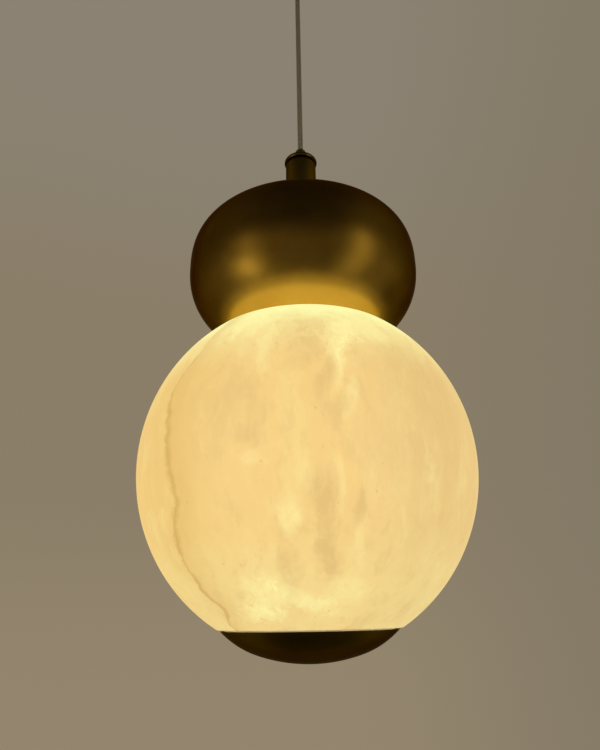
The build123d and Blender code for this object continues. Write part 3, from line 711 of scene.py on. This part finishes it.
dark = clouds(
    (29, -21, 5, 10, 0, 0.6), (6, -50, 7, 12), (11, -84, 5, 13), (34, -56, 3, 9, 8, 0.8),
    (12, 38, 4, 15, 16, 0.7), (-44, -9, 6, 5, 0, 0.7), (-49, -110, 4, 3))

# The long brown vein down the left, by its heights and how far it strays there
vein_turn = math.radians(44.0)
vein_route = ((76, 9.5), (37, -4.8), (1, -0.6), (-44, 6.6), (-67, -3.5), (-83, -5.8), (-104, -2.4),
              (-119, 6.3), (-129, -2.9))
vein_halo = (0.0058, 0.0008)
vein_line = (0.0016, 0.0003)
vein_stray = 0.011
vein_shift = vein_route[0][1] * mm
for (start, at_start), (end, at_end) in zip(vein_route, vein_route[1:]):
    vein_shift = stone.fade(gz, start * mm, end * mm) * ((at_end - at_start) * mm) + vein_shift
jagged = (stone.noise(stretched(30.0, 150.0, 1.3), 1.0, 7.0, 0.72) - 0.5) * vein_stray
from_vein = gx * math.cos(vein_turn) - gy * math.sin(vein_turn) - vein_shift + jagged
vein_off = stone.math("ABSOLUTE", from_vein)
vein_shown = stone.fade(gz, 0.080, 0.064)
below_top = stone.fade(gz, 0.050, 0.015)
vein_thick = below_top * 0.5 + below_top * stone.fade(gz, -0.086, -0.066) * 0.4 + 0.2
vein_break = stone.fade(stone.noise(centre, 60.0, 5.0, 0.6), 0.36, 0.60)
vein_side_mask = stone.fade(from_vein, 0.030, 0.0) * stone.fade(from_vein, -0.002, 0.002)
vein_soft = stone.fade(vein_off / (vein_thick * (vein_break * 0.7 + 0.5)), *vein_halo)
vein_core = stone.fade(vein_off, *vein_line) * (vein_break * 0.55 + 0.02)
grains = stone.node("ShaderNodeTexVoronoi", {}, {"Vector": centre, "Scale": 55.0})

# Painted light: the glow is brighter towards the top and the bottom and changes tint from left to right.
glow = stone.mix(stone.fade(gx, -0.095, -0.030), glow_left, glow_middle)
for mask, colour in (
        (stone.fade(gx, 0.020, 0.085), glow_right),
        (stone.fade(gz, 0.045, 0.100) * 0.95 + stone.fade(gz, -0.055, -0.110) * 0.38, glow_bright),
        (stone.fade(gz, 0.088, 0.118), glow_top),
        (stone.fade(streaks, 0.52, 0.70) * 0.26, glow_bright),
        (stone.fade(streaks, 0.48, 0.34) * 0.34, cloud_grey),
        (stone.fade(mottle, 0.52, 0.72) * 0.26, glow_bright),
        (stone.fade(mottle, 0.49, 0.32) * 0.38, cloud_grey),
        (pale * feather, glow_white),
        (grey * feather * 0.64, cloud_grey),
        (dark * feather * 0.32, cloud_dark),
        (stone.fade(gz, 0.088, 0.116) * 0.75, glow_top),
        (stone.fade(drifts, 0.53, 0.66) * behind * 0.8, cloud_grey),
        (stone.fade(drifts, 0.46, 0.34) * behind * 0.7, glow_white),
        (vein_side_mask * 0.40, vein_side),
        (vein_soft * vein_shown * 0.52, vein_brown),
        (vein_core * vein_shown, vein_brown),
        (stone.fade(grains, 0.070, 0.035) * 0.30, grain_brown)):
    glow = stone.mix(mask, glow, colour)
stone.feed("Emission Color", glow)
unlit = (0.15, 0.15, 0.15, 1.0)
stone.feed("Base Color", stone.node("ShaderNodeMix", {"data_type": "RGBA", "blend_type": "MULTIPLY"}, {
    0: 1.0, 6: glow, 7: unlit}, 2))
honing = stone.noise(centre, 260.0, 4.0, 0.6)
stone.feed("Roughness", 0.36 + honing * 0.14)
stone.bump(honing, 0.00004, 0.4)
globe_shell = globe.make("globe_shell", stone.material)
fit(globe_shell, stone, "lamp", "alabaster", "alabaster_globe")

silicone_dull = (0.62, 0.58, 0.50)
silicone_pale = (0.72, 0.69, 0.62)
silicone, _ = grained("silicone", {}, scale=400.0, detail=3.0, dark=silicone_dull, pale=silicone_pale,
                      smooth=0.4, rougher=0.2)
dress(silicone, "top_gasket", "base_gasket")

# Light core
# A six-sided aluminium extrusion on the centre tube, with a board of light chips
# glued to each face. The link board on top joins them to the driver's leads.
core_flat = 0.018
core_faces = 6
board_thick = 0.0012
board_face = core_flat + board_thick
chip_foot = board_face + 0.0001
chip_top = board_face + 0.0003
drawn_dull = (0.60, 0.60, 0.61)
drawn_bright = (0.74, 0.74, 0.75)
board_white = (0.78, 0.78, 0.74)
chip_yellow = (0.80, 0.55, 0.10)
board_glow = (0.02, 0.015, 0.008)
chip_glow = (1.0, 0.78, 0.42)

anodised = Finish("anodised aluminium", {"Metallic": 1.0})
drawn_out = anodised.join(anodised.x * 900.0, anodised.y * 900.0, anodised.z * 12.0)
draw_lines = anodised.noise(drawn_out, 1.0, 3.0)
anodised.feed("Base Color", anodised.mix(draw_lines, drawn_dull, drawn_bright))
anodised.feed("Roughness", 0.34 + draw_lines * 0.16)
anodised.bump(draw_lines, 0.00002, 0.5)
dress(anodised, "light_core")

boards = Finish("lit boards", {"Emission Strength": 0.8})
reach = None
for face in range(core_faces):
    turn = math.radians(360 / core_faces * (face + 0.5))
    along_normal = boards.x * math.cos(turn) + boards.y * math.sin(turn)
    reach = along_normal if reach is None else boards.math("MAXIMUM", reach, along_normal)
chips = boards.fade(reach, chip_foot, chip_top)
mask_grain = boards.noise(boards.place, 800.0, 2.0)
boards.feed("Base Color", boards.mix(chips, board_white, chip_yellow))
boards.feed("Emission Color", boards.mix(chips, board_glow, chip_glow))
boards.feed("Roughness", 0.35 + mask_grain * 0.2)
dress(boards, "link_board", *[f"led_strip_{face + 1}" for face in range(core_faces)])

# Bottom cap
# A shallow brass dish, spun like the housing, that screws up onto the end of the
# centre tube and hides the plate and the nut which carry the globe.
cap_rim_z = -866.271
cap_low = -891.77
cap_crown_r = 140.0
cap_crown_half_w = 44.0
cap_shoulder_r = 77.0
cap_wall = 1.2
cap_turn_angle = math.asin(cap_crown_half_w / cap_crown_r)
cap_crown_z = cap_low + cap_crown_r
cap_shoulder_x = (cap_crown_r - cap_shoulder_r) * math.sin(cap_turn_angle)
cap_shoulder_z = cap_crown_z - (cap_crown_r - cap_shoulder_r) * math.cos(cap_turn_angle)
crown_start = math.degrees(cap_turn_angle) - 90


def dish(wall):
    """Outline of the dish from its lowest point up to its rim, at a depth in the wall."""
    crown = arc(0.0, cap_crown_z, cap_crown_r - wall, -90, crown_start, 16)
    shoulder_r = cap_shoulder_r - wall
    rim_turn = math.degrees(math.asin((cap_rim_z - cap_shoulder_z) / shoulder_r))
    shoulder = arc(cap_shoulder_x, cap_shoulder_z, shoulder_r, crown_start, rim_turn, 16)
    return crown[:-1] + shoulder


cap_inside = dish(cap_wall)
cap_inside.reverse()
cap = turned("cap_shell", dish(0.0) + cap_inside, turns=160, bevel=0.3)
cap_tone = (0.222, 0.153, 0.026)
cap_deep = (0.167, 0.112, 0.017)
cap_brass = spun_brass("cap brass", cap_crown_z * mm, cap_tone, cap_deep)
fit(cap, cap_brass, "cap", "satin_brass", "bottom_cap")
dress(turned_brass, "cap_boss")

# Studio
# A dim room with a taupe wall, darker overhead and at its ends, over a plain pale floor.
# Soft panels fill evenly, and low ones and tall ones draw the highlights on the brass.
wall_taupe = (0.296, 0.238, 0.155)
wall_upper = (0.258, 0.209, 0.139)
wall_top = (0.258, 0.224, 0.172)
wall_right = (0.228, 0.193, 0.134)
wall_end = (0.110, 0.090, 0.062)
ceiling_dark = (0.028, 0.023, 0.018)

world = bpy.data.worlds.new("room")
world.use_nodes = True
scene.world = world
room = Graph(world.node_tree)
to_right, to_wall, upward = room.split(room.node("ShaderNodeTexCoord", {}, {}, "Generated"))
sideways = room.math("ABSOLUTE", to_right)
wall = wall_taupe
for way, start, end, tone in (
        (upward, -0.12, 0.22, wall_upper),
        (upward, 0.40, 0.75, wall_top),
        (to_right, 0.05, 0.50, wall_right),
        (sideways * 0.8 + upward * 0.4, 0.62, 1.0, wall_end),
        (upward * 0.8 - to_wall * 0.6, 0.42, 0.90, ceiling_dark)):
    wall = room.mix(room.fade(way, start, end), wall, tone)
world.node_tree.links.new(wall.socket, world.node_tree.nodes["Background"].inputs["Color"])

floor_z = -2.2
floor_r = 6.0
floor_sides = 96
floor_worn = (0.62, 0.585, 0.52)
floor_clean = (0.66, 0.625, 0.56)
card_black = (0.050, 0.039, 0.025)
card_r = 0.75
card_edge_r = 1.30
floor_edge = []
for step in range(floor_sides):
    angle = 2 * math.pi * step / floor_sides
    floor_edge.append((floor_r * math.cos(angle), floor_r * math.sin(angle), floor_z))
floor_mesh = bpy.data.meshes.new("floor")
floor_mesh.from_pydata(floor_edge, [], [list(range(floor_sides))])
floor = bpy.data.objects.new("floor", floor_mesh)
scene.collection.objects.link(floor)

# In reflections alone, a dark card lies on the floor below the light: it gives the
# bottom cap the dark middle that the photograph shows
floor_finish = Finish("floor", {"Roughness": 0.8})
floor_wear = floor_finish.noise(floor_finish.place, 1.5, 3.0)
reflected = floor_finish.node("ShaderNodeLightPath", {}, {}, "Is Glossy Ray")
card = floor_finish.fade(floor_finish.off_axis(), card_edge_r, card_r) * reflected
plain_floor = floor_finish.mix(floor_wear, floor_worn, floor_clean)
floor_finish.feed("Base Color", floor_finish.mix(card, plain_floor, card_black))
floor_mesh.materials.append(floor_finish.material)

neutral = (1.0, 0.94, 0.84)
warm = (1.0, 0.92, 0.52)
glowing = (1.0, 0.88, 0.46)
light_middle = (0.0, 0.0, -0.55)


def aim(lamp, way):
    """Turn a lamp to shine along a vector."""
    lamp.rotation_quaternion = Vector(way).to_track_quat("-Z", "Y")


def panel(name, turn, far, centre_z, wide, tall, radiance, colour=neutral):
    """A soft panel that faces the light from a turn round it, counted from the camera's side."""
    data = bpy.data.lights.new(name, "AREA")
    data.shape = "RECTANGLE"
    data.size = wide
    data.size_y = tall
    data.energy = radiance * math.pi * wide * tall
    data.color = colour
    data.spread = math.radians(180)
    lamp = bpy.data.objects.new(name, data)
    angle = math.radians(turn)
    lamp.location = (far * math.sin(angle), -far * math.cos(angle), centre_z)
    lamp.rotation_mode = "QUATERNION"
    aim(lamp, Vector(light_middle) - lamp.location)
    lamp.visible_camera = False
    scene.collection.objects.link(lamp)
    return lamp


fill_spread = math.radians(80)
for turn, radiance in ((-45, 1.2), (45, 1.2), (-135, 0.8), (135, 0.8)):
    fill = panel("fill", turn, far=1.9, centre_z=-0.55, wide=1.2, tall=1.4, radiance=radiance)
    fill.data.spread = fill_spread
    fill.visible_glossy = False

panel_far = 1.7
for name, turn, centre_z, wide, tall, radiance, colour in (
        ("left highlight", -60, -1.58, 0.34, 0.9, 4.9, warm),
        ("left wash", -50, -0.78, 0.45, 1.3, 0.75, warm),
        ("right highlight", 55, -0.98, 0.46, 2.2, 1.6, warm),
        ("right wash", 88, -1.20, 0.6, 1.5, 0.22, warm),
        ("front wash", 0, -1.45, 1.3, 0.9, 0.13, neutral),
        ("rear highlight", 180, -0.20, 0.60, 0.5, 1.2, neutral)):
    panel(name, turn, panel_far, centre_z, wide, tall, radiance, colour)

floor_light = panel("floor light", 180, far=2.2, centre_z=0.6, wide=3.0, tall=3.0, radiance=0.7)
aim(floor_light, (0.0, 0.0, -1.0))
floor_light.visible_glossy = False

# Two disks just above the globe's top flat shine as the lit globe does on the housing
shine_z = -0.6105
for disk, radiance in ((0.186, 1.32), (0.226, 0.28)):
    shine = panel("shine of the globe", 0, far=0.0, centre_z=shine_z, wide=disk, tall=disk,
                  radiance=radiance, colour=glowing)
    shine.data.shape = "DISK"
    aim(shine, (0.0, 0.0, 1.0))
    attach(shine, "lamp")
